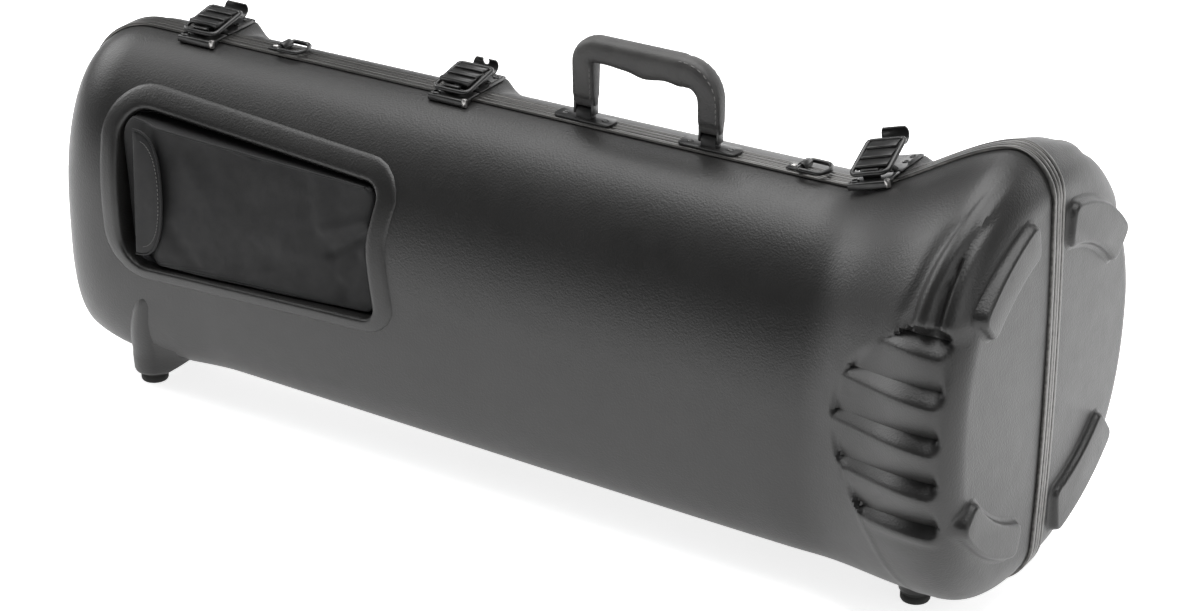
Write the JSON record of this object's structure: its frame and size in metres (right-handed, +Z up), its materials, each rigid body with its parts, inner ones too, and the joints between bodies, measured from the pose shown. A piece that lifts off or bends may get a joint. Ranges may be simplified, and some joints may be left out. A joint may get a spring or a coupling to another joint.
{
  "type": "trombone case",
  "caption": "Hard moulded trombone case with a flared bell end, aluminium valance, draw latches, carrying handle, strap rings, feet and an outside pocket.",
  "frame": {"origin": "on the floor under the middle of the standing case, in the plane where the two halves meet", "axes": "+X along the case towards the bell end, +Y towards the rear half, away from the outside pocket, +Z up"},
  "size_m": [0.9515, 0.3516, 0.4022],
  "materials": {
    "shell": "fine pebble texture, satin",
    "valance": "dark anodised, three grooves",
    "hardware": "black, semi-gloss",
    "handle": "grained and stitched",
    "feet": "matt",
    "pouch": "woven nylon",
    "lining": "plush over foam"
  },
  "bodies": {
    "rear_half": {"rear_shell": "shell", "rear_valance": "valance", "rear_foam": "lining", "foot_rear_small_end": "feet", "foot_rear_bell_end": "feet", "handle_bracket_left": "hardware", "handle_bracket_right": "hardware", "ring_clip_left": "hardware", "ring_clip_right": "hardware", "latch_1_base": "hardware", "latch_1_pin": "hardware", "hinge_1_leaf_rear": "hardware", "hinge_1_pin": "hardware", "latch_2_base": "hardware", "latch_2_pin": "hardware", "hinge_2_leaf_rear": "hardware", "hinge_2_pin": "hardware", "latch_3_base": "hardware", "latch_3_pin": "hardware", "hinge_3_leaf_rear": "hardware", "hinge_3_pin": "hardware"},
    "lid": {"front_shell": "shell", "front_valance": "valance", "front_foam": "lining", "foot_front_small_end": "feet", "foot_front_bell_end": "feet", "pouch_bag": "pouch", "latch_1_keeper": "hardware", "hinge_1_leaf_front": "hardware", "latch_2_keeper": "hardware", "hinge_2_leaf_front": "hardware", "latch_3_keeper": "hardware", "hinge_3_leaf_front": "hardware"},
    "handle": {"handle_grip": "handle", "handle_stirrup_left": "hardware", "handle_stirrup_right": "hardware"},
    "ring_left": {"strap_ring_left": "hardware"},
    "ring_right": {"strap_ring_right": "hardware"},
    "pocket_flap": {"pouch_flap": "pouch"},
    "lever_1": {"latch_1_lever": "hardware"},
    "link_1": {"latch_1_link": "hardware"},
    "lever_2": {"latch_2_lever": "hardware"},
    "link_2": {"latch_2_link": "hardware"},
    "lever_3": {"latch_3_lever": "hardware"},
    "link_3": {"latch_3_link": "hardware"}
  },
  "joints": [
    {"name": "lid_hinge", "type": "hinge", "parent": "rear_half", "child": "lid", "pos_m": [-0.02, 0, 0.00951], "axis": [0.9999, 0, -0.0106], "range_deg": [0, 95]},
    {"name": "handle_hinge", "type": "hinge", "parent": "rear_half", "child": "handle", "pos_m": [0.104, 0, 0.3347], "axis": [1, 0, 0], "range_deg": [-90, 90]},
    {"name": "ring_left_hinge", "type": "hinge", "parent": "rear_half", "child": "ring_left", "pos_m": [-0.262, 0, 0.3311], "axis": [0, -1, 0], "range_deg": [0, 110]},
    {"name": "ring_right_hinge", "type": "hinge", "parent": "rear_half", "child": "ring_right", "pos_m": [0.2505, 0, 0.3311], "axis": [0, -1, 0], "range_deg": [0, 110]},
    {"name": "flap_hinge", "type": "hinge", "parent": "lid", "child": "pocket_flap", "pos_m": [-0.359, -0.0916, 0.204], "axis": [0, 0, -1], "range_deg": [0, 100]},
    {"name": "lever_1_hinge", "type": "hinge", "parent": "rear_half", "child": "lever_1", "pos_m": [-0.343, -0.005, 0.3361], "axis": [1, 0, 0], "range_deg": [0, 100]},
    {"name": "link_1_hinge", "type": "hinge", "parent": "lever_1", "child": "link_1", "pos_m": [-0.343, 0.024, 0.3411], "axis": [1, 0, 0], "range_deg": [-42, 0]},
    {"name": "lever_2_hinge", "type": "hinge", "parent": "rear_half", "child": "lever_2", "pos_m": [-0.079, -0.005, 0.3361], "axis": [1, 0, 0], "range_deg": [0, 100]},
    {"name": "link_2_hinge", "type": "hinge", "parent": "lever_2", "child": "link_2", "pos_m": [-0.079, 0.024, 0.3411], "axis": [1, 0, 0], "range_deg": [-42, 0]},
    {"name": "lever_3_hinge", "type": "hinge", "parent": "rear_half", "child": "lever_3", "pos_m": [0.30339, -0.005, 0.34249], "axis": [0.9571, 0, 0.2896], "range_deg": [-16, 84]},
    {"name": "link_3_hinge", "type": "hinge", "parent": "lever_3", "child": "link_3", "pos_m": [0.29969, 0.0215, 0.35474], "axis": [0.9571, 0, 0.2896], "range_deg": [-36, 7]}
  ],
  "couplings": [
    {"joint": "link_1_hinge", "follows": "lever_1_hinge", "ratio": -0.4},
    {"joint": "link_2_hinge", "follows": "lever_2_hinge", "ratio": -0.4},
    {"joint": "link_3_hinge", "follows": "lever_3_hinge", "ratio": -0.4}
  ]
}
